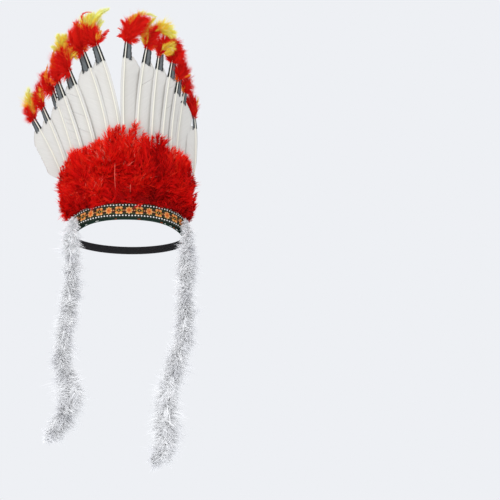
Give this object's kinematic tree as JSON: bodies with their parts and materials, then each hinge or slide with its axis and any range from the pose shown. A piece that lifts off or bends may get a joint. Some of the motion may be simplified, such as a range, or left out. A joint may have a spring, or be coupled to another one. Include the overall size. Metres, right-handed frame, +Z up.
{
  "type": "feather headdress",
  "caption": "Costume headdress: curved woven browband carrying tall white quills with black ends and red and yellow tufts, a red plume fringe and two hanging white plume tails",
  "frame": {"origin": "centre of the head ring, level with the lower edge of the woven trim at the front", "axes": "+Z up the wearer's head, the front of the headdress faces -Y, +X to the wearer's left"},
  "size_m": [0.2753, 0.2147, 0.6914],
  "materials": {
    "band_ground": "matt woven",
    "woven_trim": "matt jacquard weave",
    "elastic": "matt ribbed",
    "white_feather": "soft sheen",
    "black_feather": "soft sheen",
    "tuft_plume": "matt, downy",
    "red_plume": "matt, downy",
    "white_plume": "matt, downy"
  },
  "bodies": {
    "root": {"base_band": "band_ground", "browband_trim": "woven_trim", "elastic_strap": "elastic", "quill_01": "white_feather", "quill_02": "white_feather", "quill_03": "white_feather", "quill_04": "white_feather", "quill_05": "white_feather", "quill_06": "white_feather", "quill_07": "white_feather", "quill_08": "white_feather", "quill_09": "white_feather", "quill_10": "white_feather", "quill_11": "white_feather", "quill_12": "white_feather", "quill_13": "white_feather", "quill_14": "white_feather", "black_tip_01": "black_feather", "black_tip_02": "black_feather", "black_tip_03": "black_feather", "black_tip_04": "black_feather", "black_tip_05": "black_feather", "black_tip_06": "black_feather", "black_tip_07": "black_feather", "black_tip_08": "black_feather", "black_tip_09": "black_feather", "black_tip_10": "black_feather", "black_tip_11": "black_feather", "black_tip_12": "black_feather", "black_tip_13": "black_feather", "black_tip_14": "black_feather", "tip_tuft_01": "tuft_plume", "tip_tuft_02": "tuft_plume", "tip_tuft_03": "tuft_plume", "tip_tuft_04": "tuft_plume", "tip_tuft_05": "tuft_plume", "tip_tuft_06": "tuft_plume", "tip_tuft_07": "tuft_plume", "tip_tuft_08": "tuft_plume", "tip_tuft_09": "tuft_plume", "tip_tuft_10": "tuft_plume", "tip_tuft_11": "tuft_plume", "tip_tuft_12": "tuft_plume", "tip_tuft_13": "tuft_plume", "tip_tuft_14": "tuft_plume", "red_plume_fringe": "red_plume", "boa_left": "white_plume", "boa_right": "white_plume"}
  },
  "joints": []
}
